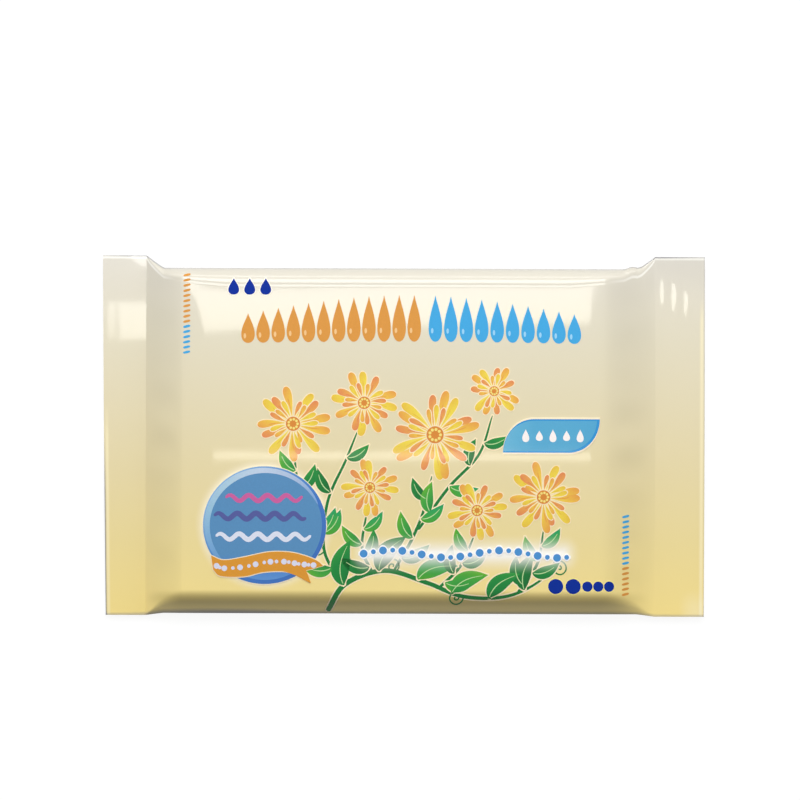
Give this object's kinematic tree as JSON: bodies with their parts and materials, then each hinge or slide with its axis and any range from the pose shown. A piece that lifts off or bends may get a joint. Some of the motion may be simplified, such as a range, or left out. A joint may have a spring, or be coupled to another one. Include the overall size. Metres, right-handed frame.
{
  "type": "wet wipes pack",
  "caption": "Flat sealed film pack of folded wet wipes, with a flat seal at each end and a seam down its back, lying on its back.",
  "frame": {"origin": "under the middle of the pack, on the surface it lies on", "axes": "+X along the pack's length, +Y towards the top of its front, +Z out of its front"},
  "size_m": [0.2, 0.1194, 0.0148],
  "materials": {
    "film": "glossy laminated film, printed cream fading to pale yellow"
  },
  "bodies": {
    "root": {"wipes_pack": "film"}
  },
  "joints": []
}
